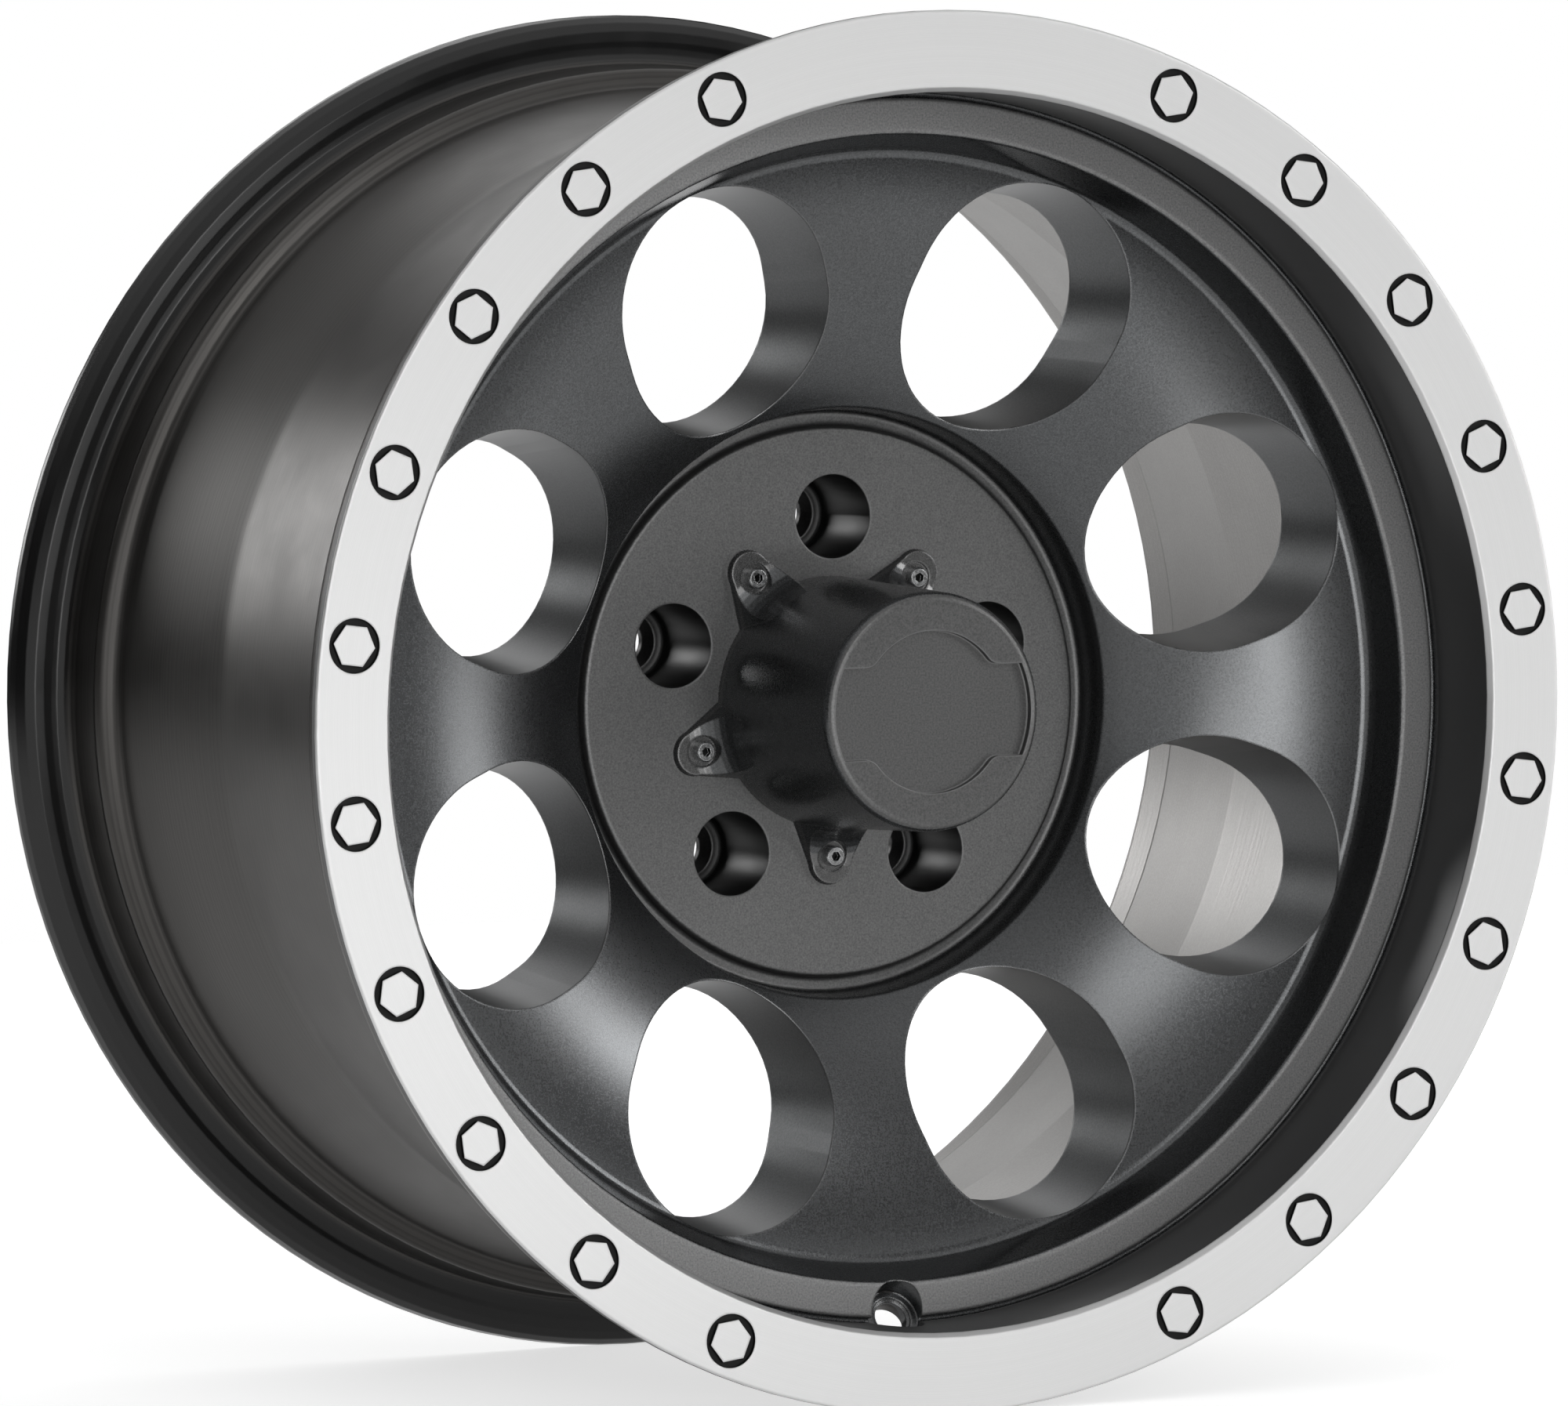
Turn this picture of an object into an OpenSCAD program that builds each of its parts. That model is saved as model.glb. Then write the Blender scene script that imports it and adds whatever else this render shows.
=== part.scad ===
// One-piece cast car wheel with a ring of engraved hexagon marks, its centre cap and the cap's screws.
// Depths are measured backwards from the ring's face. The wheel's own axis is the Y axis.

/* [Rim] */
// diameter over the flanges
flange_d = 471.2; // [470:0.4:484]
// width over both flanges
overall_w = 254; // [246:1:270]
// thickness of each flange
flange_t = 12.7; // [12:0.1:14]
// height of the flanges over the tyre seats
flange_h = 17.3; // [16.5:0.1:18.5]
// radius of the curl on the tyre side of each flange
curl_r = 9.2; // [8:0.1:9.8]
// radius in the corner between flange and tyre seat
seat_corner_r = 6.5; // [4:0.1:7]
// width of each tyre seat
seat_w = 19.3; // [18:0.1:21]
// rise of each tyre seat towards its flange
seat_rise = 1.8; // [1:0.1:2.2]
// height of the humps that keep the tyre on its seats
hump_h = 1.2; // [0.6:0.1:1.6]
// how far the drop well lies below the tyre seats
well_drop = 17.3; // [15:0.1:18]
// depth at which the drop well starts
well_start = 52; // [50:0.5:60]
// depth at which the drop well ends
well_end = 149; // [120:1:160]
// wall of the barrel
barrel_t = 6.5; // [5:0.1:8]
// spread of the barrel from the drop well to the back seat
barrel_spread = 8.5; // [7:0.1:10]
// further step out to the wall under the back seat
back_step = 8; // [6:0.1:9]
// edge break round the back of the rim
back_edge_r = 1.6; // [0.8:0.1:2.5]

/* [Ring face] */
// width of the machined face
ring_w = 25.7; // [25:0.1:27]
// width of the cut on the inner edge of the face
edge_cut_w = 1.7; // [0.5:0.1:2.5]
// depth of the cut on the inner edge of the face
edge_cut_deep = 2; // [0.5:0.1:4]
// diameter of the circle that the marks lie on
mark_circle_d = 446.6; // [444:0.2:449]
// outer diameter of the groove round each mark
mark_d = 18.2; // [16:0.1:19]
// width across the flats of each hexagon
mark_across = 13; // [8:0.5:13.5]
// depth of the grooves
mark_deep = 1.5; // [0.5:0.1:3]
// marks on each side of the wheel
marks_each_side = 10; // [4:1:10]
// angle from one mark to the next
mark_pitch = 15; // [12:0.5:15.5]
// angle from the top to the first mark
first_mark = 22.5; // [15:0.5:24]

// edge break round the outside of the ring face
ring_edge_r = 0.8; // [0.3:0.1:1.2]
// rounding behind the cut on the inner edge of the face
edge_cut_r = 0.5; // [0.2:0.1:0.8]

/* [Ledge] */
// depth of the ledge in the lip
ledge_deep = 35.7; // [32:0.1:38]
// width of the ledge
ledge_w = 12.2; // [11:0.1:13]
// width of the recess between lip and ledge
recess_w = 1.6; // [1:0.1:2.4]
// depth of the recess below the ledge
recess_deep = 2.5; // [1:0.1:3]
// fillets in the recess
recess_r = 0.5; // [0.2:0.1:0.7]
// rounding of the ledge's outer edge
ledge_outer_r = 1.4; // [0.5:0.1:2]
// rounding of the ledge's inner edge
ledge_inner_r = 2; // [1:0.1:3]
// width of the slope from the ledge down to the disc
slope_w = 5.8; // [5:0.1:6.6]
// fillet between that slope and the disc
slope_r = 4; // [2:0.1:6]

/* [Disc] */
// depth of the disc at its outer edge
dish_top = 50; // [48:0.1:53]
// depth of the disc at its inner edge
dish_foot = 80.8; // [78:0.1:84]
// how far the disc is bowed behind a straight slope
dish_bow = 7.2; // [4:0.1:9]
// outer diameter of the groove round the hub pad
moat_d = 199; // [197:0.1:201]
// width of the groove round the hub pad
moat_w = 5; // [4:0.1:7]
// depth of that groove's floor
moat_deep = 94.5; // [93:0.1:98]
// how far the outer wall of that groove leans back
moat_lean = 1.4; // [0.5:0.1:2.5]
// fillets in that groove
moat_r = 1.8; // [1:0.1:2.2]
// rounding of both edges of that groove
moat_edge_r = 1.5; // [0.5:0.1:2]
// depth of the disc's back beside the mounting face's side
back_hub = 116.3; // [114:0.1:119]
// depth of the disc's back at the barrel
back_rim = 78.1; // [76:0.1:82]
// fillet between the disc's back and the barrel
back_corner_r = 7; // [4:0.1:9]

/* [Windows] */
// number of windows
window_count = 8; // [5:1:9]
// diameter of the circle that the windows lie on
window_circle_d = 288.2; // [286:0.2:289]
// width of a window across the wheel
window_w = 77; // [60:0.5:78]
// how much longer than wide a window is
window_longer = 6.8; // [2:0.1:7]
// depth at which the window's width is measured
window_ref = 69.5; // [65:0.5:75]
// draft of the window walls
window_draft = 6.7; // [1:0.1:8]

/* [Hub] */
// depth of the pad round the cap
pad_deep = 89.8; // [88:0.1:91]
// depth of the mounting face
mount_deep = 133; // [129:0.5:138]
// metal outside the lightening pockets, to the edge of the mounting face
mount_wall = 8; // [5:0.1:10]
// edge break of the mounting face
mount_edge_r = 2; // [1:0.1:3]
// width of the slope from the mounting face down to the disc's back
mount_side_w = 5; // [3:0.1:7]
// fillet between that slope and the disc's back
mount_foot_r = 8; // [4:0.1:10]
// diameter of the hub bore
bore_d = 78.1; // [70:0.1:80]
// edge break of the hub bore at the mounting face
bore_break = 2; // [0.5:0.1:3]
// diameter of the counterbore that centres the cap
register_d = 82; // [81.5:0.1:84]
// depth of that counterbore
register_deep = 4; // [3.2:0.1:8]
// turn of everything drilled, clockwise, against the marks
drill_turn = 1.2; // [0:0.1:5]

/* [Stud holes] */
// number of stud holes, and of cap screws between them
stud_count = 5; // [4:1:5]
// diameter of the stud circle
stud_circle_d = 127; // [124:0.1:130]
// diameter of the nut pockets at their mouth
pocket_d = 28.8; // [26:0.1:29.6]
// diameter of the nut pockets at their floor
pocket_floor_d = 27.6; // [25:0.1:28]
// metal left between the pocket floor and the mounting face
stud_seat_t = 8.5; // [7:0.1:13]
// radius between pocket wall and floor
pocket_floor_r = 2.5; // [1:0.1:3]
// outer diameter of the cone that the nut bears on
cone_d = 20.4; // [18:0.1:22]
// lean of that cone's side from its axis
cone_lean = 30; // [28:1:45]
// diameter of a stud hole
stud_hole_d = 15.2; // [13:0.1:16]
// diameter of the relief behind each stud hole
stud_relief_d = 21; // [18:0.1:24]
// depth of the relief behind each stud hole
stud_relief_deep = 1.5; // [0.5:0.1:2]
// diameter of the lightening pockets in the mounting face
light_d = 25; // [18:0.5:26]
// depth of the lightening pockets
light_deep = 20; // [10:0.5:22]
// how much narrower their floor is on each side
light_draft_w = 0.8; // [0.2:0.1:2]
// radius between their wall and floor
light_floor_r = 3; // [1:0.1:5]

/* [Valve hole] */
// diameter of the pocket for the valve's foot
valve_pocket_d = 19.4; // [16:0.1:20]
// depth of that pocket
valve_pocket_deep = 4.4; // [3:0.1:4.8]
// distance of the valve hole from the lip wall, on the ledge
valve_from_lip = 4; // [3:0.1:6]
// diameter of the step in the pocket
valve_step_d = 14; // [12.5:0.1:16]
// depth of the step in the pocket
valve_step_deep = 0.8; // [0.3:0.1:1.2]
// diameter of the valve hole
valve_hole_d = 11.5; // [8.3:0.1:11.8]
// edge break at its mouth
valve_break = 0.3; // [0.1:0.1:0.6]
// lean of the valve hole
valve_lean = 30; // [20:1:35]

/* [Centre cap] */
// diameter of the cap where it stands on the pad
cap_base_d = 86.4; // [85.5:0.1:90]
// diameter of the cap at its face
cap_face_d = 80.8; // [79:0.1:84]
// height of the cap over the pad
cap_h = 75.3; // [50:0.1:80]
// rounding of the cap's rim
cap_rim_r = 3; // [1:0.1:3]
// diameter of the hollow in the cap
cap_hollow_d = 73; // [66:0.1:76]
// how much narrower its end is on each side
cap_hollow_draft_w = 1; // [0.5:0.1:3]
// radius between its wall and the cap's face
cap_hollow_r = 3; // [1:0.1:6]
// thickness of the cap's face
cap_face_t = 6; // [4.5:0.1:8]
// length of the spigot that centres the cap
spigot_l = 3.6; // [2:0.1:3.8]
// clearance between spigot and counterbore
spigot_gap = 0.1; // [0.05:0.05:0.3]
// depth of the panel sunk into the face
panel_deep = 2.5; // [1:0.1:3]
// diameter of the round part of the panel
panel_d = 55; // [48:0.1:58]
// height of the panel's band
band_h = 31.2; // [24:0.1:34]
// width of the rim left round the band's ends
band_rim_w = 3.2; // [3.1:0.1:5]
// rounding where band and round part meet
band_blend_r = 5; // [2:0.1:7]

/* [Cap ears] */
// diameter of the circle that the cap screws lie on
screw_circle_d = 105.2; // [104:0.1:108]
// distance of the ear tips' centre from the axis
ear_centre_r = 54.7; // [54:0.1:56]
// radius of the ear tips
ear_tip_r = 8; // [7.5:0.1:9]
// thickness of the ears
ear_t = 2.3; // [1.8:0.1:4]
// draft of the ears' sides
ear_draft = 17; // [10:0.5:20]
// relief under the ears, so that the cap seats on its rim
ear_lift = 0.1; // [0.05:0.05:0.3]
// angle at which an ear's sides flare towards the cap
ear_flare = 22; // [10:0.5:24]
// radius of the hollow curve from ear to cap
web_r = 13; // [8:0.5:14]
// diameter of the spot face under each screw head
spot_d = 10.8; // [8:0.1:11.2]
// depth of the spot face
spot_deep = 0.8; // [0.3:0.1:1.2]

/* [Cap screws] */
// thread diameter
screw_d = 4; // [3:0.1:5]
// length under the head
screw_l = 16; // [10:1:18]
// diameter of the head
head_d = 7; // [6:0.1:7.6]
// height of the head
head_h = 4; // [3:0.1:4.6]
// edge break of the head
head_break = 0.5; // [0.2:0.1:0.8]
// width across the flats of the socket
socket_across = 3; // [2:0.1:3.6]
// depth of the socket
socket_deep = 2; // [1:0.1:2.6]
// clearance all round between thread and tapped hole
thread_gap = 0.05; // [0.02:0.01:0.1]
// clearance all round between thread and ear
ear_hole_gap = 0.25; // [0.1:0.05:0.5]
// free depth left below each screw
screw_room = 1.2; // [0.5:0.1:2]

/* [Hidden] */
$fn = 96;
small_fn = 48;
hex = 6;
// overrun of a cutter past a surface
past = 1;
tiny = 0.01;
// greatest angle of one step in a rounded corner
arc_step = 22.5;
dish_steps = 12;
full_turn = 360;

flange_r = flange_d / 2;
seat_r = flange_r - flange_h;
seat_in_r = seat_r - seat_rise;
well_r = seat_r - well_drop;
barrel_in_r = well_r - barrel_t;
// depths at which the front tyre seat ends and the rear one starts
front_seat_end = flange_t + seat_w;
rear_seat_start = overall_w - front_seat_end;
lip_r = flange_r - ring_w;
lip_wall_r = lip_r - edge_cut_w;
ledge_out_r = lip_wall_r - recess_w;
ledge_in_r = ledge_out_r - ledge_w;
dish_out_r = ledge_in_r - slope_w;
moat_out_r = moat_d / 2;
moat_in_r = moat_out_r - moat_w;
pad_lean = 0.4;
dish_in_r = moat_out_r + moat_lean;
mount_d = stud_circle_d + light_d + 2 * mount_wall;
mount_side_r = mount_d / 2 + mount_side_w;
back_seat_in_r = barrel_in_r + barrel_spread + back_step;
// the wall under the back seat steps out ahead of the seat, and its foot starts this much earlier
step_lead = 1;
step_run = 7;
// the open back of the rear flange: its floor's rise, how deep that floor lies, and the flat outside it
back_floor_rise = 9;
back_floor_deep = 6.5;
back_floor_fall = 1.5;
back_floor_r = 4;
back_face_w = 8.6;
// the humps' tops lie this far past the seats, and their feet as far again
hump_reach = 3;
// the rear hump's foot lies this far out of the drop well
hump_foot_rise = 9;
// fillets of the tyre side: at the seats' and humps' edges and at the ends of the drop well
seat_edge_r = 2;
hump_r = 3;
well_start_r = 6;
well_end_r = 20;
// fillets along the inside of the barrel
barrel_r = 6;

stud_pitch = full_turn / stud_count;
pocket_deep = mount_deep - stud_seat_t;
cap_face = pad_deep - cap_h;
cap_base_r = cap_base_d / 2;
cap_face_r = cap_face_d / 2;
ear_top = pad_deep - ear_t;
spot_floor = ear_top + spot_deep;
head_top = spot_floor - head_h;
screw_end = spot_floor + screw_l;
// the ear's flanks lie this far inside the tip's circle, so that they meet it at an edge
ear_inset = 0.3;
// the ears run this far into the cap, and start this far outside their tips' centre
ear_root = 5;
root_r = cap_base_r - ear_root;
flank_start = 2.8;
// height of the ears' curve, the angle it turns through and how far it runs into the cap
web_h = 23.4;
web_top = pad_deep - web_h;
web_swing = 78;
web_steps = 8;
web_root = 3;
web_end_r = cap_base_r - web_root;
tapped_r = screw_d / 2 + thread_gap;
ear_hole_r = screw_d / 2 + ear_hole_gap;
valve_floor = valve_pocket_deep + valve_step_deep;

// plane helpers: the unit vector, and the arc that rounds corner b between a and c
function unit(v) = v / norm(v);
function corner(a, b, c, r) =
    r <= 0 ? [b] :
    let (u = unit(a - b))
    let (v = unit(c - b))
    let (half = acos(u * v) / 2)
    let (centre = b + unit(u + v) * r / sin(half))
    let (first = b + u * r / tan(half) - centre)
    let (last = b + v * r / tan(half) - centre)
    let (start = atan2(first[1], first[0]))
    let (swing = (atan2(last[1], last[0]) - start + full_turn * 3 / 2) % full_turn - full_turn / 2)
    let (steps = max(1, ceil(abs(swing) / arc_step)))
    [for (i = [0:steps]) centre + r * [cos(start + swing * i / steps), sin(start + swing * i / steps)]];
function flat(p) = [p[0], p[1]];
function rounded(path) =
    [for (i = [0:len(path) - 1])
        each corner(flat(path[(i + len(path) - 1) % len(path)]), flat(path[i]),
                    flat(path[(i + 1) % len(path)]), path[i][2])];
// points of the arc from a to b whose middle lies bow away from the straight line
function bowed(a, b, bow, steps) =
    let (chord = norm(b - a))
    let (r = (chord * chord / 4 + bow * bow) / (2 * bow))
    let (side = unit([b[1] - a[1], a[0] - b[0]]))
    let (centre = (a + b) / 2 + side * (r - bow))
    let (start = atan2(a[1] - centre[1], a[0] - centre[0]))
    let (last = atan2(b[1] - centre[1], b[0] - centre[0]))
    [for (i = [1:steps - 1])
        let (t = start + (last - start) * i / steps)
        [centre[0] + r * cos(t), centre[1] + r * sin(t), 0]];

// the pieces are drawn facing down, depth upwards, top of the wheel towards -Y
module in_frame() {
    translate([0, -overall_w / 2, 0]) rotate([-90, 0, 0]) children();
}

// a place at an angle clockwise from the top, seen from the front, and a distance from the axis
module at_clock(a, r) {
    rotate([0, 0, a]) translate([0, -r, 0]) children();
}

module at_studs() {
    for (i = [0:stud_count - 1]) at_clock(drill_turn + stud_pitch * i, stud_circle_d / 2) children();
}

module at_screws(r) {
    for (i = [0:stud_count - 1]) at_clock(drill_turn + stud_pitch * (i + 0.5), r) children();
}

// the wheel casting: front of its section, from the flange's edge in to the hub bore
front_path = concat(
    [[flange_r, 0, ring_edge_r],
     [lip_r, 0, 0],
     [lip_wall_r, edge_cut_deep, edge_cut_r],
     [lip_wall_r, ledge_deep + recess_deep, recess_r],
     [ledge_out_r, ledge_deep + recess_deep, recess_r],
     [ledge_out_r, ledge_deep, ledge_outer_r],
     [ledge_in_r, ledge_deep, ledge_inner_r],
     [dish_out_r, dish_top, slope_r]],
    bowed([dish_out_r, dish_top], [dish_in_r, dish_foot], dish_bow, dish_steps),
    [[dish_in_r, dish_foot, moat_edge_r],
     [moat_out_r, moat_deep, moat_r],
     [moat_in_r, moat_deep, moat_r],
     [moat_in_r - pad_lean, pad_deep, moat_edge_r],
     [register_d / 2, pad_deep, 0],
     [register_d / 2, pad_deep + register_deep, 0],
     [bore_d / 2, pad_deep + register_deep, 0]]);
// back of the section, from the hub bore out to the rear flange
back_path = [
    [bore_d / 2, mount_deep - bore_break, 0],
    [bore_d / 2 + bore_break, mount_deep, 0],
    [mount_d / 2, mount_deep, mount_edge_r],
    [mount_side_r, back_hub, mount_foot_r],
    [barrel_in_r, back_rim, back_corner_r],
    [barrel_in_r, well_end, barrel_r],
    [barrel_in_r + barrel_spread, rear_seat_start - step_lead - step_run, barrel_r],
    [back_seat_in_r, rear_seat_start - step_lead, barrel_r],
    [back_seat_in_r, overall_w - back_floor_deep - back_floor_fall, barrel_r],
    [back_seat_in_r + back_floor_rise, overall_w - back_floor_deep, back_floor_r],
    [flange_r - back_face_w, overall_w, seat_edge_r],
    [flange_r, overall_w, back_edge_r]];
// tyre side of the section, from the rear flange to the front one
tyre_path = [
    [flange_r, overall_w - flange_t + curl_r, 0],
    [flange_r, overall_w - flange_t, curl_r - tiny],
    [seat_r, overall_w - flange_t, seat_corner_r],
    [seat_in_r, rear_seat_start, seat_edge_r],
    [seat_in_r + hump_h, rear_seat_start - hump_reach, hump_r],
    [well_r + hump_foot_rise, rear_seat_start - hump_reach * 2, hump_r],
    [well_r, well_end, well_end_r],
    [well_r, well_start, well_start_r],
    [seat_in_r + hump_h, front_seat_end + hump_reach, hump_r],
    [seat_in_r, front_seat_end, seat_edge_r],
    [seat_r, flange_t, seat_corner_r],
    [flange_r, flange_t, curl_r - tiny],
    [flange_r, flange_t - curl_r, 0]];

module rim_and_disc() {
    rotate_extrude() polygon(rounded(concat(front_path, back_path, tyre_path)));
}

// groove round a hexagon that stays level with the face
module mark() {
    translate([0, 0, -past]) difference() {
        cylinder(d = mark_d, h = mark_deep + past, $fn = small_fn);
        translate([0, 0, -past]) rotate([0, 0, 90])
            cylinder(d = mark_across / cos(180 / hex), h = mark_deep + past * 3, $fn = hex);
    }
}

module marks() {
    for (side = [-1, 1], i = [0:marks_each_side - 1])
        at_clock(side * (first_mark + mark_pitch * i), mark_circle_d / 2) mark();
}

// oval drafted opening: two cones and the flat-sided body between them
module window() {
    front = dish_top - past;
    back = back_hub + past;
    slope = tan(window_draft);
    front_r = window_w / 2 + (window_ref - front) * slope;
    back_r = window_w / 2 - (back - window_ref) * slope;
    for (side = [-1, 1])
        translate([0, side * window_longer / 2, front]) cylinder(r1 = front_r, r2 = back_r, h = back - front);
    translate([0, window_longer / 2, 0]) rotate([90, 0, 0]) linear_extrude(window_longer)
        polygon([[-front_r, front], [front_r, front], [back_r, back], [-back_r, back]]);
}

module windows() {
    for (i = [0:window_count - 1])
        at_clock(full_turn / window_count * (i + 0.5), window_circle_d / 2) window();
}

// nut pocket, bearing cone, stud hole and relief, as one turned cutter
module stud_hole() {
    mouth_r = pocket_d / 2 + (pocket_d - pocket_floor_d) / 2 / (pocket_deep - pad_deep) * past;
    cone_l = (cone_d - stud_hole_d) / 2 / tan(cone_lean);
    rotate_extrude($fn = small_fn) polygon(rounded([
        [0, pad_deep - past, 0],
        [mouth_r, pad_deep - past, 0],
        [pocket_floor_d / 2, pocket_deep, pocket_floor_r],
        [cone_d / 2, pocket_deep, 0],
        [stud_hole_d / 2, pocket_deep + cone_l, 0],
        [stud_hole_d / 2, mount_deep - stud_relief_deep, 0],
        [stud_relief_d / 2, mount_deep - stud_relief_deep, 0],
        [stud_relief_d / 2, mount_deep + past, 0],
        [0, mount_deep + past, 0]]));
}

module lightening_pocket() {
    rotate_extrude($fn = small_fn) polygon(rounded([
        [0, mount_deep - light_deep, 0],
        [light_d / 2 - light_draft_w, mount_deep - light_deep, light_floor_r],
        [light_d / 2, mount_deep + past, 0],
        [0, mount_deep + past, 0]]));
}

module tapped_hole() {
    translate([0, 0, pad_deep - past])
        cylinder(r = tapped_r, h = screw_end + screw_room - pad_deep + past, $fn = small_fn);
}

// stepped hole for the tyre valve, leaning outwards through the wall below the ledge
module valve_hole() {
    at_clock(180 + drill_turn, lip_wall_r - valve_from_lip) translate([0, 0, ledge_deep])
        rotate([valve_lean, 0, 0]) {
            translate([0, 0, -valve_pocket_d / 2])
                cylinder(d = valve_pocket_d, h = valve_pocket_deep + valve_pocket_d / 2, $fn = small_fn);
            cylinder(d = valve_step_d, h = valve_floor, $fn = small_fn);
            translate([0, 0, valve_floor - valve_break])
                cylinder(d1 = valve_hole_d + valve_break * 4, d2 = valve_hole_d, h = valve_break * 2,
                         $fn = small_fn);
            cylinder(d = valve_hole_d, h = valve_pocket_d, $fn = small_fn);
        }
}

module wheel() {
    color([0.13, 0.13, 0.14]) in_frame() difference() {
        rim_and_disc();
        marks();
        windows();
        at_studs() stud_hole();
        at_screws(stud_circle_d / 2) lightening_pocket();
        at_screws(screw_circle_d / 2) tapped_hole();
        valve_hole();
    }
}

// the centre cap: body, hollow, sunk panel and ears
module cap_body() {
    rotate_extrude() polygon(rounded([
        [0, cap_face, 0],
        [cap_face_r, cap_face, cap_rim_r],
        [cap_base_r, pad_deep, 0],
        [register_d / 2 - spigot_gap, pad_deep, 0],
        [register_d / 2 - spigot_gap, pad_deep + spigot_l, 0],
        [0, pad_deep + spigot_l, 0]]));
}

module cap_hollow() {
    rotate_extrude() polygon(rounded([
        [0, cap_face + cap_face_t, 0],
        [cap_hollow_d / 2 - cap_hollow_draft_w, cap_face + cap_face_t, cap_hollow_r],
        [cap_hollow_d / 2, pad_deep + spigot_l + past, 0],
        [0, pad_deep + spigot_l + past, 0]]));
}

// blends the round part of the sunk panel into its band
module panel_blend() {
    blend_y = band_h / 2 + band_blend_r;
    reach = panel_d / 2 + band_blend_r;
    blend_x = sqrt(reach * reach - blend_y * blend_y);
    difference() {
        polygon([[0, 0], [blend_x, 0], [blend_x, blend_y]]);
        translate([blend_x, blend_y]) circle(r = band_blend_r, $fn = small_fn);
    }
}

module cap_panel() {
    translate([0, 0, cap_face - past]) linear_extrude(panel_deep + past) {
        circle(d = panel_d);
        intersection() {
            circle(r = cap_face_r - band_rim_w);
            square([cap_face_d, band_h], center = true);
        }
        for (a = [0, 1], b = [0, 1]) mirror([a, 0]) mirror([0, b]) panel_blend();
    }
}

// solid under the hollow curve that runs from the ears up the cap's wall
module web_limit() {
    foot_r = cap_base_r + web_r;
    far_r = foot_r + ear_tip_r * 2;
    curve = [for (i = [0:web_steps])
        let (t = web_swing * i / web_steps)
        [foot_r - web_r * sin(t), ear_top - web_r * (1 - cos(t))]];
    foot = curve[web_steps];
    rotate_extrude() polygon(concat(
        [[0, pad_deep], [far_r, pad_deep], [far_r, ear_top]],
        curve,
        [[web_end_r, foot[1] - (foot[0] - web_end_r) * tan(web_swing)],
         [0, foot[1] - (foot[0] - web_end_r) * tan(web_swing)]]));
}

// all that lies inside one drafted flank of an ear
module inside_flank() {
    reach = cap_base_d;
    translate([0, -ear_centre_r, pad_deep]) rotate([0, 0, -ear_flare])
        translate([ear_tip_r - ear_inset, 0, 0]) rotate([0, ear_draft, 0])
            translate([-reach, -reach / 2, -reach / 2]) cube(reach);
}

// one ear before the hollow curve is cut: a drafted round tip on a flaring, narrowing web
module ear_blank() {
    tip_h = web_h / 2;
    foot_r = ear_tip_r - ear_lift * tan(ear_draft);
    translate([0, -ear_centre_r, pad_deep - tip_h])
        cylinder(r1 = ear_tip_r - tip_h * tan(ear_draft), r2 = foot_r, h = tip_h - ear_lift, $fn = small_fn);
    intersection() {
        translate([-ear_centre_r, -ear_centre_r - flank_start, web_top])
            cube([ear_centre_r * 2, ear_centre_r + flank_start - root_r, web_h - ear_lift]);
        inside_flank();
        mirror([1, 0, 0]) inside_flank();
    }
}

module ears() {
    at_screws(0) intersection() {
        ear_blank();
        web_limit();
    }
}

module center_cap() {
    color([0.11, 0.11, 0.12]) in_frame() difference() {
        union() {
            cap_body();
            ears();
        }
        cap_hollow();
        cap_panel();
        at_screws(screw_circle_d / 2) {
            translate([0, 0, web_top - past])
                cylinder(d = spot_d, h = spot_floor - web_top + past, $fn = small_fn);
            translate([0, 0, spot_floor - past])
                cylinder(r = ear_hole_r, h = pad_deep - spot_floor + past * 2, $fn = small_fn);
        }
    }
}

// a socket-head screw, seated in the spot face of its ear
module cap_screw() {
    difference() {
        rotate_extrude($fn = small_fn) polygon([
            [0, head_top],
            [head_d / 2 - head_break, head_top],
            [head_d / 2, head_top + head_break],
            [head_d / 2, spot_floor],
            [screw_d / 2, spot_floor],
            [screw_d / 2, screw_end - head_break],
            [screw_d / 2 - head_break, screw_end],
            [0, screw_end]]);
        translate([0, 0, head_top - past])
            cylinder(d = socket_across / cos(180 / hex), h = socket_deep + past, $fn = hex);
    }
}

module cap_screws() {
    color([0.75, 0.76, 0.78]) in_frame() at_screws(screw_circle_d / 2) cap_screw();
}

wheel();
center_cap();
cap_screws();
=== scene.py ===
import math
import bpy
from mathutils import Matrix, Vector


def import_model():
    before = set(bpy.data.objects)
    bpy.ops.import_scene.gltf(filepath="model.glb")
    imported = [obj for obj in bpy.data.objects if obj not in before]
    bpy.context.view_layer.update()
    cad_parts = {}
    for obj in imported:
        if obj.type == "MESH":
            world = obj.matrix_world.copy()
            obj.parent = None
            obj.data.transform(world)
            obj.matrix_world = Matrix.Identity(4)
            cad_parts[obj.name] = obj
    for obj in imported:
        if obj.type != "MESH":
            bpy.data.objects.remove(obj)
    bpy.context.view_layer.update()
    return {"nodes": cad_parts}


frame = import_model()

scene = bpy.context.scene
scene.view_settings.view_transform = "Standard"

# The wheel turns about Y and its front looks along -Y. Lengths are in metres. A radius is measured
# from that axis, and a depth from the machined ring face towards the back.
HALF_W = 0.127                  # half the width over both flanges
FLANGE_R = 0.2356               # radius of the flanges
MARK_R = 0.2233                 # circle of the engraved hexagons

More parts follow.
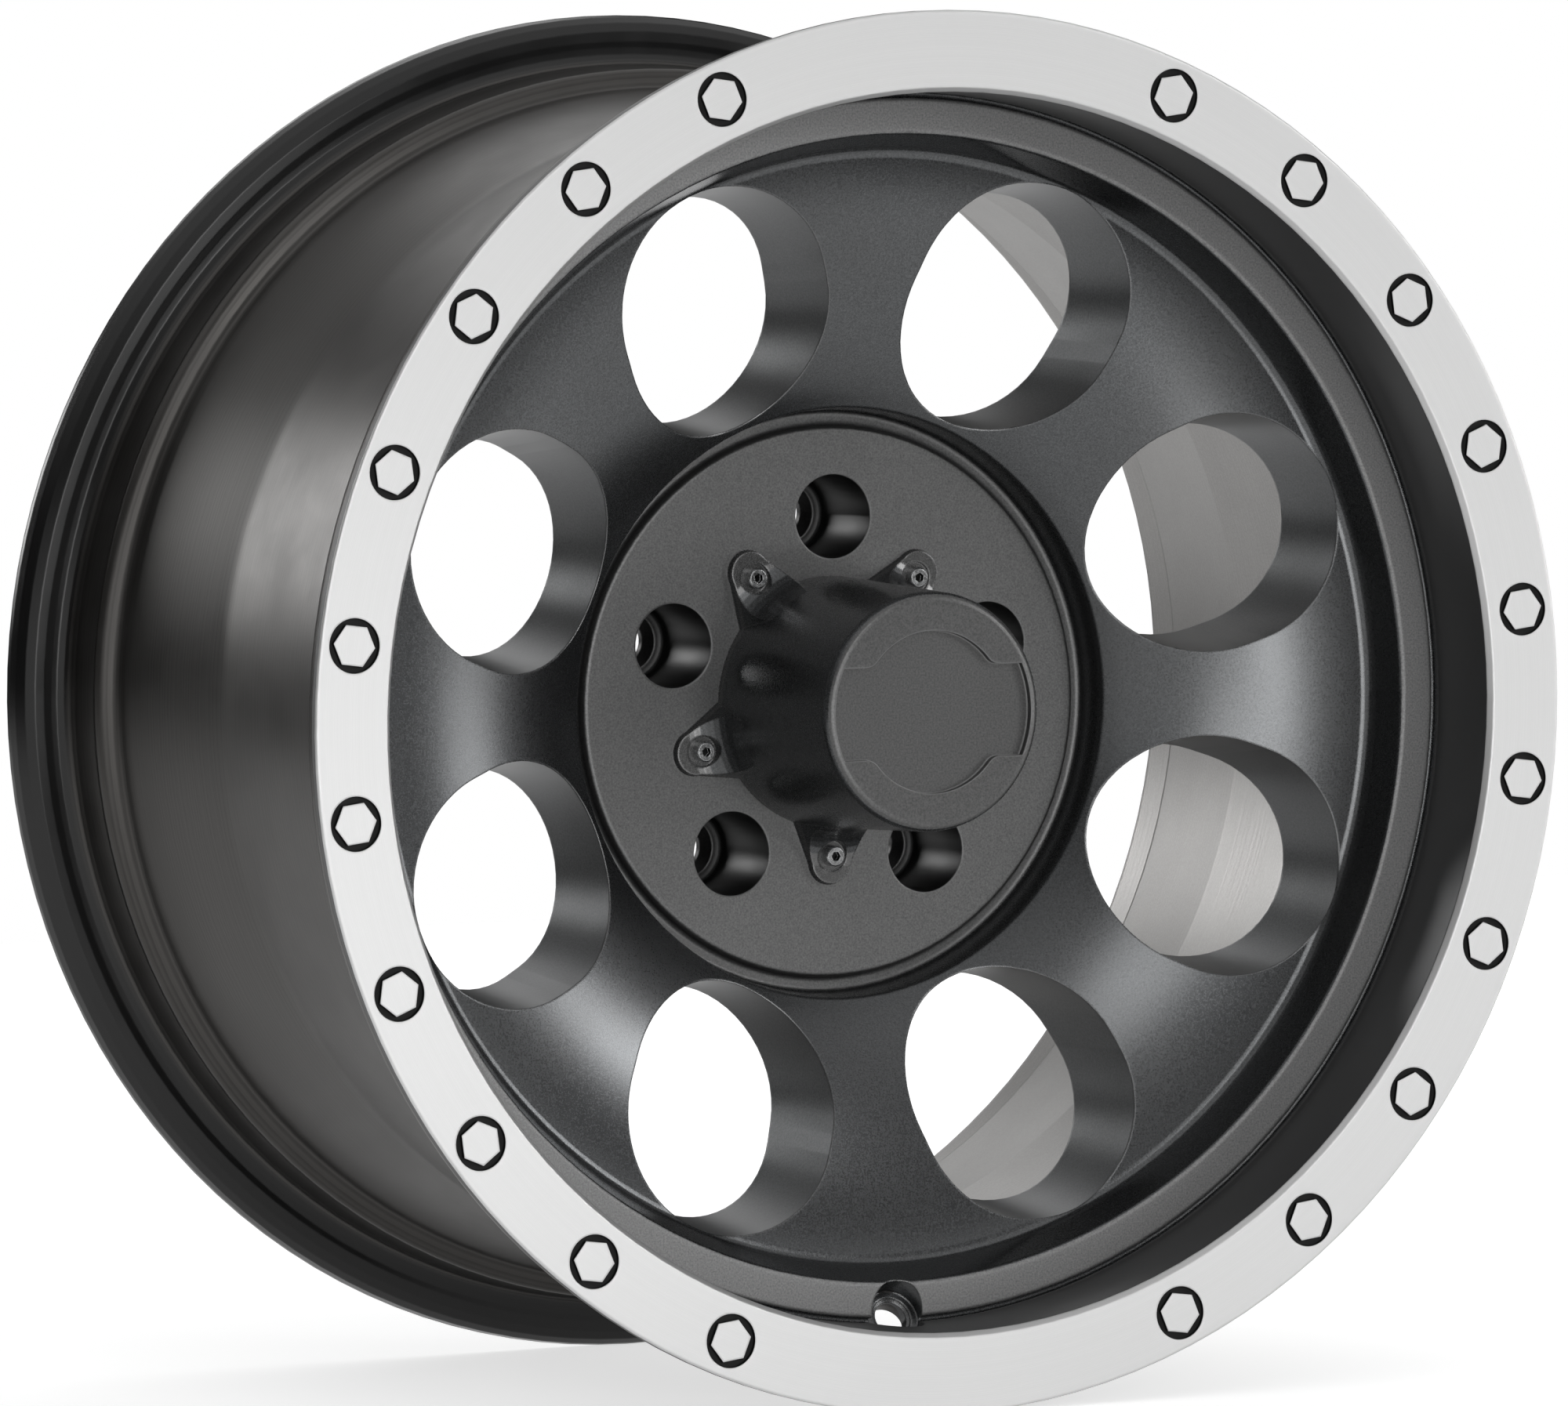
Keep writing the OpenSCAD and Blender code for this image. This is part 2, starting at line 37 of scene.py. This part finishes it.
# the front of the wheel
POCKET_R = 0.0850               # the stud pockets lie inside this radius
POCKET_DEPTH = 0.0905           # and behind this depth
PAD_R = 0.0992                  # turned pad round the hub
DISC_R = (0.104, 0.187)         # crowned front of the disc
CROWN_ARC_R = 0.1536            # radius of the crown's arc
CROWN_LEVEL_R = 0.1933          # radius at which that arc lies square to the axis
CROWN_CLOSE = (9, 5)            # degrees from the arc at which a face begins and ends to follow it
WINDOW_R = (0.1015, 0.1900)     # walls of the windows
LEDGE_R = 0.1940                # turned ledge inside the lip
LEDGE_DEPTH = (0.0345, 0.0362)
LIP_INSIDE_R = 0.2062           # wall from the ring face down to the ledge
LIP_INSIDE_DEPTH = 0.0350

# the machined ring face
FACE_INNER_R = 0.20982          # the flat face lies outside this radius
FACE_DEPTH = 0.00012            # and in front of this depth
CUT_EDGE_R = (0.2080, 0.2100)   # cut along its inner edge
CUT_EDGE_DEPTH = 0.00195
GROOVE_R = (0.2140, 0.2326)     # grooves of the engraved hexagons
GROOVE_DEPTH = 0.0017
OUTER_EDGE_DEPTH = 0.0009       # edge break round the outside

# the barrel
FRONT_SEAT_R = 0.2130           # outside of the barrel behind the ring face
FRONT_SEAT_DEPTH = 0.003
OUTSIDE_DEPTH = 0.044           # from here back, the radius alone tells outside from inside
INSIDE_R = 0.1925               # inside of the barrel
INSIDE_DEPTH = 0.0835
BACK_SEAT_DEPTH, BACK_SEAT_R = (0.149, 0.214), (0.198, 0.2066)  # middle of its wall at the back
BACK_STEP_DEPTH, BACK_STEP_RISE = (0.214, 0.218), 0.0069        # and the step towards the flange
BACK_FLANGE_DEPTH = (0.2380, 0.2400)
BROAD_FORMS_DEPTH = (0.205, 0.216)      # the softly rounded forms end between these depths

# the cap and its screws
CAP_FACE_R = 0.0395
CAP_FACE_DEPTH = 0.0173
CAP_EAR_DEPTH = (0.0868, 0.0886)
SCREW_COUNT = 5
SCREW_CIRCLE_R = 0.0526
SCREW_TURN = 1.2                # degrees that the screws are turned from the top
SOCKET_R = 0.00176
SOCKET_DEPTH = 0.08438          # just behind the tops of the heads

# edges in the shading: how far they are rounded, and the cosines between the rounded normal and
# the face's own at which the painted edge highlight begins and is full
WHEEL_ROUND = 0.0011
BROAD_ROUND = 0.0075
CAP_ROUND = 0.0009
SCREW_ROUND = 0.0003
EDGE_HIGHLIGHT_BEND = (0.985, 0.86)

# the camera, solved on the photo: lengths in radii of the circle of hexagons, angles in degrees
CAMERA_AZIMUTH, CAMERA_ELEVATION, CAMERA_ROLL = -27.1879, 3.1021, -0.3957
CAMERA_AWAY = 17.4164
TARGET_X, TARGET_Z = -0.2867, 0.0253
FOCAL_PX, PHOTO_W_PX = 14919.55, 2000
SENSOR_MM = 36
CLIP_END = 50

# stretches of a noise's values, from low to high, that are spread over the whole of a ramp
WIDE = (0.25, 0.75)
MIDDLE = (0.3, 0.7)
NARROW = (0.35, 0.65)
HIGH = (0.35, 0.7)

# soft panels of the studio: direction (degrees left or right of the wheel's front, degrees up),
# reach of the full and of the fading part (degrees), strength
PANELS = (
    (0, 22, 5, 14, 4.2),
    (-9, 3, 5, 13, 4.5),
    (4, 1, 3, 9, 3.2),
    (-36, 0, 8, 20, 0.9),
    (55, 0, 4, 10, 6.0),
    (50, 18, 4, 11, 9.0),
    (97, 0, 12, 30, 1.3),
    (-156, 14, 3, 12, 6.5),
    (168, 25, 5, 17, 1.3))
CEILING = (15, 65, 0.85)        # first and full height (degrees up), strength
EVEN_LEVEL = 0.03               # light from every side

FLOOR_HALF = 2.0
FLOOR_GREY = 0.62
FLOOR_GLOW = 0.66               # the pale backdrop, for the camera and for mirrored rays only
FLOOR_MIRRORED = 0.75           # share of that glow in reflections


def direction(azimuth, elevation):
    az, el = math.radians(azimuth), math.radians(elevation)
    return (math.sin(az) * math.cos(el), -math.cos(az) * math.cos(el), math.sin(el))


def grey(value, warm=0.0):
    return (value * (1 + warm), value, value * (1 - warm), 1.0)


class Tree:
    """The nodes of a material or world. Each call adds a step and returns its output."""

    def __init__(self, owner, out):
        self.owner = owner
        owner.use_nodes = True
        self.nodes = owner.node_tree.nodes
        self.links = owner.node_tree.links
        self.nodes.clear()
        self.out = self.nodes.new(out)

    def put(self, socket, value):
        if isinstance(value, bpy.types.NodeSocket):
            self.links.new(value, socket)
        elif value is not None:
            socket.default_value = value

    def node(self, kind, *inputs):
        """a node with its first inputs filled in order"""
        n = self.nodes.new(kind)
        for socket, value in zip(n.inputs, inputs):
            self.put(socket, value)
        return n

    def math(self, op, a, b=None):
        n = self.node("ShaderNodeMath", a, b)
        n.operation = op
        return n.outputs[0]

    def times(self, *factors):
        total = factors[0]
        for factor in factors[1:]:
            total = self.math("MULTIPLY", total, factor)
        return total

    def above(self, value, limit):
        return self.math("GREATER_THAN", value, limit)

    def below(self, value, limit):
        return self.math("LESS_THAN", value, limit)

    def between(self, value, limits):
        return self.times(self.above(value, limits[0]), self.below(value, limits[1]))

    def ramp(self, value, lo, hi, out_lo=0.0, out_hi=1.0, smooth=False):
        n = self.node("ShaderNodeMapRange", value, lo, hi, out_lo, out_hi)
        if smooth:
            n.interpolation_type = "SMOOTHSTEP"
        return n.outputs["Result"]

    def noise(self, vector, scale, detail, rough):
        n = self.nodes.new("ShaderNodeTexNoise")
        self.put(n.inputs["Vector"], vector)
        return self.set_noise(n, scale, detail, rough)

    def rings(self, distance, scale, detail, rough):
        """noise along one distance, for the marks of a turning tool"""
        n = self.nodes.new("ShaderNodeTexNoise")
        n.noise_dimensions = "1D"
        self.put(n.inputs["W"], distance)
        return self.set_noise(n, scale, detail, rough)

    def set_noise(self, n, scale, detail, rough):
        n.inputs["Scale"].default_value = scale
        n.inputs["Detail"].default_value = detail
        n.inputs["Roughness"].default_value = rough
        return n.outputs[0]

    def mix(self, fac, a, b):
        n = self.nodes.new("ShaderNodeMix")
        n.data_type = "RGBA"
        self.put(n.inputs[0], fac)
        self.put(n.inputs[6], a)
        self.put(n.inputs[7], b)
        return n.outputs[2]

    def speckle(self, grain, dark, bright):
        return self.mix(self.ramp(grain, *WIDE), dark, bright)

    def length(self, a, b):
        return self.math("SQRT", self.math("ADD", self.times(a, a), self.times(b, b)))

    def coords(self):
        """the point on the object, its x and z, its radius and its depth"""
        point = self.nodes.new("ShaderNodeTexCoord").outputs["Object"]
        x, y, z = self.node("ShaderNodeSeparateXYZ", point).outputs
        return point, x, z, self.length(x, z), self.math("ADD", y, HALF_W)

    def rounded(self, radius, samples=6):
        n = self.nodes.new("ShaderNodeBevel")
        n.samples = samples
        self.put(n.inputs["Radius"], radius)
        return n.outputs[0]

    def own_normal(self):
        return self.nodes.new("ShaderNodeNewGeometry").outputs["Normal"]

    def dot(self, a, b):
        n = self.node("ShaderNodeVectorMath", a, b)
        n.operation = "DOT_PRODUCT"
        return n.outputs["Value"]

    def edge(self, normal, power):
        """up to power along sharp edges, where the rounded normal leaves the face's own: the mask
        of the painted edge highlights
        """
        return self.ramp(self.dot(normal, self.own_normal()), *EDGE_HIGHLIGHT_BEND, out_hi=power)

    def crown(self, normal, x, z, radius):
        """the smooth normal of the disc's crown in place of its steps, wherever both lie close"""
        lean = self.math("DIVIDE", self.math("SUBTRACT", radius, CROWN_LEVEL_R), CROWN_ARC_R)
        per = self.math("DIVIDE", lean, radius)
        ahead = self.math("SQRT", self.math("SUBTRACT", 1.0, self.times(lean, lean)))
        arc = self.node("ShaderNodeCombineXYZ",
                        self.times(x, per), self.times(ahead, -1.0), self.times(z, per)).outputs[0]
        first, last = (math.cos(math.radians(angle)) for angle in CROWN_CLOSE)
        close = self.ramp(self.dot(normal, arc), first, last)
        n = self.nodes.new("ShaderNodeMix")
        n.data_type = "VECTOR"
        self.put(n.inputs[0], self.times(close, self.between(radius, DISC_R)))
        self.put(n.inputs[4], normal)
        self.put(n.inputs[5], arc)
        unit = self.node("ShaderNodeVectorMath", n.outputs[1])
        unit.operation = "NORMALIZE"
        return unit.outputs[0]

    def bump(self, height, normal, distance, strength):
        n = self.nodes.new("ShaderNodeBump")
        n.inputs["Strength"].default_value = strength
        n.inputs["Distance"].default_value = distance
        self.put(n.inputs["Height"], height)
        self.put(n.inputs["Normal"], normal)
        return n.outputs[0]

    def principled(self, tint, rough, metallic, normal):
        n = self.nodes.new("ShaderNodeBsdfPrincipled")
        self.put(n.inputs["Base Color"], tint)
        self.put(n.inputs["Roughness"], rough)
        self.put(n.inputs["Metallic"], metallic)
        self.put(n.inputs["Normal"], normal)
        return n.outputs[0]

    def blend(self, fac, a, b):
        return self.node("ShaderNodeMixShader", fac, a, b).outputs[0]

    def finish(self, shader):
        self.links.new(shader, self.out.inputs["Surface"])
        return self.owner


def material(name):
    return Tree(bpy.data.materials.new(name), "ShaderNodeOutputMaterial")


def satin(t, point, tone):
    """satin black coat with fine bright flakes: its colour, its roughness and its grain"""
    grain = t.noise(point, scale=1500.0, detail=2.0, rough=0.6)
    broad = t.noise(point, scale=14.0, detail=3.0, rough=0.5)
    tint = t.speckle(grain, grey(tone * 0.7, warm=-0.03), grey(tone * 1.35, warm=-0.03))
    tint = t.mix(t.ramp(broad, *NARROW, out_hi=0.25), tint, grey(tone * 0.8, warm=0.02))
    rough = t.math("ADD", t.ramp(grain, *MIDDLE, out_lo=0.25, out_hi=0.30),
                   t.ramp(broad, *MIDDLE, out_lo=-0.02, out_hi=0.02))
    return tint, rough, grain


def rougher(t, rough, *areas):
    """more roughness in each area, given by its mask and what it adds"""
    for mask, more in areas:
        rough = t.math("ADD", rough, t.times(mask, more))
    return rough


def cast_skin(t, point, radius, depth, rim, normal):
    """the coated front and back of the casting, and its grain"""
    tint, rough, grain = satin(t, point, tone=0.095)
    # the pad and the ledge are turned before they are coated, so they shine more softly
    pad = t.below(radius, PAD_R)
    ledge = t.times(t.above(radius, LEDGE_R), t.between(depth, LEDGE_DEPTH))
    tint = t.mix(pad, tint, t.speckle(grain, grey(0.08), grey(0.15)))
    # the ledge's lighter tint is partly its turned finish and partly painted light, standing in for
    # light that the lip shades from it
    tint = t.mix(ledge, tint, t.speckle(grain, grey(0.13), grey(0.26)))
    # painted shade darkens the stud pockets, and painted light brightens the wall inside the
    # machined face
    pocket_shade = t.times(t.below(radius, POCKET_R), t.above(depth, POCKET_DEPTH))
    wall = t.times(t.above(radius, LIP_INSIDE_R), t.below(depth, LIP_INSIDE_DEPTH))
    tint = t.mix(t.times(pocket_shade, 0.8), tint, grey(0.02))
    tint = t.mix(t.times(wall, 0.7), tint, grey(0.15))
    # the window walls are left as cast, so they shine less
    ahead = t.math("ABSOLUTE", t.node("ShaderNodeSeparateXYZ", t.own_normal()).outputs[1])
    window = t.times(t.ramp(ahead, 0.5, 0.35), t.between(radius, WINDOW_R))
    rough = rougher(t, rough, (wall, 0.25), (window, 0.10), (pad, 0.13), (ledge, 0.26))
    # a painted highlight along the edges, where their rounding would catch the light, and dark in
    # the grooves of the engraved hexagons, which are painted black
    tint = t.mix(t.edge(rim, power=0.55), tint, grey(0.26))
    groove = t.times(t.below(depth, GROOVE_DEPTH), t.between(radius, GROOVE_R))
    tint = t.mix(groove, tint, grey(0.016))
    skin = t.principled(tint, rough, metallic=0.9,
                        normal=t.bump(grain, normal, distance=0.00002, strength=0.5))
    return skin, grain


def barrel_outside(t, depth, turned, cloud):
    """turned under the same coat, glossier at the back flange"""
    flange = t.ramp(depth, *BACK_FLANGE_DEPTH)
    tint = t.mix(t.ramp(turned, *MIDDLE), grey(0.040, warm=0.05), grey(0.066, warm=0.05))
    tint = t.mix(t.ramp(cloud, *HIGH, out_hi=0.35), tint, grey(0.08, warm=0.03))
    tint = t.mix(flange, tint, grey(0.032))
    rough = t.math("SUBTRACT", t.ramp(cloud, *MIDDLE, out_lo=0.30, out_hi=0.38),
                   t.times(flange, 0.12))
    reach = t.ramp(depth, *BROAD_FORMS_DEPTH, out_lo=BROAD_ROUND, out_hi=WHEEL_ROUND)
    soft = t.rounded(reach, samples=8)
    return t.principled(tint, rough, metallic=0.8,
                        normal=t.bump(turned, soft, distance=0.00003, strength=0.3))


def barrel_inside(t, turned, cloud, grain, normal):
    """turned bright and thinly coated"""
    tint = t.mix(t.ramp(turned, *MIDDLE), grey(0.27, warm=0.02), grey(0.36, warm=0.02))
    tint = t.mix(t.ramp(cloud, *HIGH, out_hi=0.4), tint, grey(0.24, warm=0.02))
    tint = t.mix(t.ramp(grain, *MIDDLE, out_hi=0.45), tint, grey(0.19, warm=0.03))
    rough = t.ramp(turned, *MIDDLE, out_lo=0.36, out_hi=0.46)
    return t.principled(tint, rough, metallic=0.85,
                        normal=t.bump(turned, normal, distance=0.00004, strength=0.4))


def machined_metal(t, radius, normal):
    """bare metal with fine turned rings round the axis"""
    fine = t.rings(radius, scale=5200.0, detail=3.0, rough=0.6)
    wide = t.rings(radius, scale=620.0, detail=2.0, rough=0.5)
    tint = t.mix(t.ramp(fine, *MIDDLE), grey(0.59), grey(0.65))
    tint = t.mix(t.ramp(wide, *NARROW, out_hi=0.2), tint, grey(0.58))
    rough = t.ramp(fine, *MIDDLE, out_lo=0.45, out_hi=0.51)
    return t.principled(tint, rough, metallic=1.0,
                        normal=t.bump(fine, normal, distance=0.00002, strength=0.3))


def wheel_material():
    t = material("wheel_cast_satin_and_machined_face")
    point, x, z, radius, depth = t.coords()
    rim = t.rounded(WHEEL_ROUND)
    normal = t.crown(rim, x, z, radius)
    turned = t.rings(depth, scale=1500.0, detail=3.0, rough=0.6)
    cloud = t.noise(point, scale=30.0, detail=4.0, rough=0.6)
    skin, grain = cast_skin(t, point, radius, depth, rim, normal)
    barrel = barrel_outside(t, depth, turned, cloud)
    inside = barrel_inside(t, turned, cloud, grain, normal)
    metal = machined_metal(t, radius, normal)
    # the radius that parts the barrel's outside from its inside grows towards the back
    split = t.math("ADD", t.ramp(depth, *BACK_SEAT_DEPTH, *BACK_SEAT_R),
                   t.ramp(depth, *BACK_STEP_DEPTH, out_hi=BACK_STEP_RISE))
    is_outside = t.math("MAXIMUM",
                        t.times(t.above(depth, OUTSIDE_DEPTH), t.above(radius, split)),
                        t.times(t.above(depth, FRONT_SEAT_DEPTH), t.above(radius, FRONT_SEAT_R)))
    is_inside = t.times(t.above(depth, INSIDE_DEPTH), t.between(radius, (INSIDE_R, split)))
    face = t.times(t.below(depth, FACE_DEPTH), t.above(radius, FACE_INNER_R))
    cut_edge = t.times(t.below(depth, CUT_EDGE_DEPTH), t.between(radius, CUT_EDGE_R))
    outer_edge = t.times(t.below(depth, OUTER_EDGE_DEPTH), t.above(radius, GROOVE_R[1]))
    is_bare = t.math("MAXIMUM", t.math("MAXIMUM", face, cut_edge), outer_edge)
    shader = t.blend(is_outside, skin, barrel)
    shader = t.blend(is_inside, shader, inside)
    return t.finish(t.blend(is_bare, shader, metal))


def cap_material():
    t = material("cap_satin_black")
    point, _, _, radius, depth = t.coords()
    tint, rough, grain = satin(t, point, tone=0.088)
    face = t.times(t.below(depth, CAP_FACE_DEPTH), t.below(radius, CAP_FACE_R))
    ears = t.between(depth, CAP_EAR_DEPTH)
    tint = t.mix(face, tint, t.speckle(grain, grey(0.068), grey(0.125)))
    tint = t.mix(ears, tint, t.speckle(grain, grey(0.10), grey(0.15)))
    rim = t.rounded(CAP_ROUND)
    # a painted highlight along the cap's edges
    tint = t.mix(t.edge(rim, power=0.6), tint, grey(0.30))
    rough = rougher(t, rough, (face, 0.10))
    return t.finish(t.principled(tint, rough, metallic=0.8,
                                 normal=t.bump(grain, rim, distance=0.00002, strength=0.5)))


def screw_material():
    t = material("screw_dark_steel")
    point, x, z, radius, depth = t.coords()
    cloud = t.noise(point, scale=900.0, detail=3.0, rough=0.6)
    tint = t.mix(t.ramp(cloud, *MIDDLE), grey(0.26, warm=-0.01), grey(0.40, warm=-0.01))
    # the five heads fold onto one, whose axis is the middle of their sockets, which are painted
    # dark as shade
    sector = 2 * math.pi / SCREW_COUNT
    turn = t.math("SUBTRACT", t.math("ARCTAN2", x, z), math.radians(SCREW_TURN))
    local = t.math("SUBTRACT", t.math("FLOORED_MODULO", turn, sector), sector / 2)
    across = t.times(radius, t.math("SINE", local))
    along = t.math("SUBTRACT", t.times(radius, t.math("COSINE", local)), SCREW_CIRCLE_R)
    socket = t.times(t.below(t.length(across, along), SOCKET_R), t.above(depth, SOCKET_DEPTH))
    # painted shade: the recess of each socket darkened
    tint = t.mix(socket, tint, grey(0.02))
    rim = t.rounded(SCREW_ROUND)
    # a painted highlight along the edges of the heads
    tint = t.mix(t.edge(rim, power=0.8), tint, grey(0.62, warm=-0.01))
    rough = t.ramp(cloud, *MIDDLE, out_lo=0.20, out_hi=0.34)
    return t.finish(t.principled(tint, rough, metallic=1.0,
                                 normal=t.bump(cloud, rim, distance=0.00003, strength=0.4)))


def camera():
    back = Vector(direction(CAMERA_AZIMUTH, CAMERA_ELEVATION))
    roll = math.radians(CAMERA_ROLL)
    target = Vector((TARGET_X * MARK_R, -HALF_W, TARGET_Z * MARK_R))
    level = (-back).cross(Vector((0, 0, 1))).normalized()
    upright = level.cross(-back)
    right = level * math.cos(roll) + upright * math.sin(roll)
    up = upright * math.cos(roll) - level * math.sin(roll)
    data = bpy.data.cameras.new("camera")
    data.sensor_width = SENSOR_MM
    data.lens = FOCAL_PX * SENSOR_MM / PHOTO_W_PX
    data.clip_end = CLIP_END
    obj = bpy.data.objects.new("camera", data)
    scene.collection.objects.link(obj)
    place = Matrix((right, up, back)).transposed().to_4x4()
    place.translation = target + back * CAMERA_AWAY * MARK_R
    obj.matrix_world = place
    scene.camera = obj


def floor():
    corners = [(x * FLOOR_HALF, y * FLOOR_HALF, -FLANGE_R)
               for x, y in ((-1, -1), (1, -1), (1, 1), (-1, 1))]
    mesh = bpy.data.meshes.new("floor")
    mesh.from_pydata(corners, [], [(0, 1, 2, 3)])
    obj = bpy.data.objects.new("floor", mesh)
    scene.collection.objects.link(obj)
    t = material("floor_pale")
    lit = t.node("ShaderNodeBsdfDiffuse", grey(FLOOR_GREY))
    rays = t.nodes.new("ShaderNodeLightPath")
    mirrored = t.math("MAXIMUM", rays.outputs["Is Glossy Ray"], rays.outputs["Is Transmission Ray"])
    seen = t.math("MAXIMUM", rays.outputs["Is Camera Ray"], t.times(mirrored, FLOOR_MIRRORED))
    glow = t.node("ShaderNodeEmission", grey(1.0), t.times(seen, FLOOR_GLOW))
    both = t.node("ShaderNodeAddShader", lit.outputs[0], glow.outputs[0])
    mesh.materials.append(t.finish(both.outputs[0]))


def world():
    """A white studio: a low even level, a ceiling that brightens with height, and soft panels."""
    scene.world = bpy.data.worlds.new("studio")
    t = Tree(scene.world, "ShaderNodeOutputWorld")
    sight = t.nodes.new("ShaderNodeTexCoord").outputs["Generated"]
    total = EVEN_LEVEL
    for azimuth, elevation, full, reach, strength in PANELS:
        near = t.dot(sight, direction(azimuth, elevation))
        panel = t.ramp(near, math.cos(math.radians(reach)), math.cos(math.radians(full)),
                       out_hi=strength, smooth=True)
        total = t.math("ADD", panel, total)
    first, full, strength = CEILING
    height = t.node("ShaderNodeSeparateXYZ", sight).outputs["Z"]
    ceiling = t.ramp(height, math.sin(math.radians(first)), math.sin(math.radians(full)),
                     out_hi=strength, smooth=True)
    total = t.math("ADD", total, ceiling)
    # the camera sees plain white
    rays = t.nodes.new("ShaderNodeLightPath")
    level = t.nodes.new("ShaderNodeMix")
    t.put(level.inputs[0], rays.outputs["Is Camera Ray"])
    t.put(level.inputs[2], total)
    t.put(level.inputs[3], 1.0)
    t.finish(t.node("ShaderNodeBackground", grey(1.0), level.outputs[0]).outputs[0])


def lamp(name, place, at, size, power):
    data = bpy.data.lights.new(name, "AREA")
    data.shape = "RECTANGLE"
    data.size, data.size_y = size
    data.energy = power
    obj = bpy.data.objects.new(name, data)
    scene.collection.objects.link(obj)
    obj.location = place
    obj.rotation_euler = (Vector(at) - Vector(place)).to_track_quat("-Z", "Y").to_euler()
    obj.visible_camera = False


def dress(node, mat):
    obj = frame["nodes"][node]
    if not obj.material_slots:
        obj.data.materials.append(mat)
    for slot in obj.material_slots:
        slot.material = mat


camera()
world()
floor()
lamp("low_strip", place=(0.18, -1.4, -0.190), at=(0.16, -0.07, -0.03), size=(0.20, 0.08), power=1.2)
dress("wheel", wheel_material())
dress("center_cap", cap_material())
dress("cap_screws", screw_material())
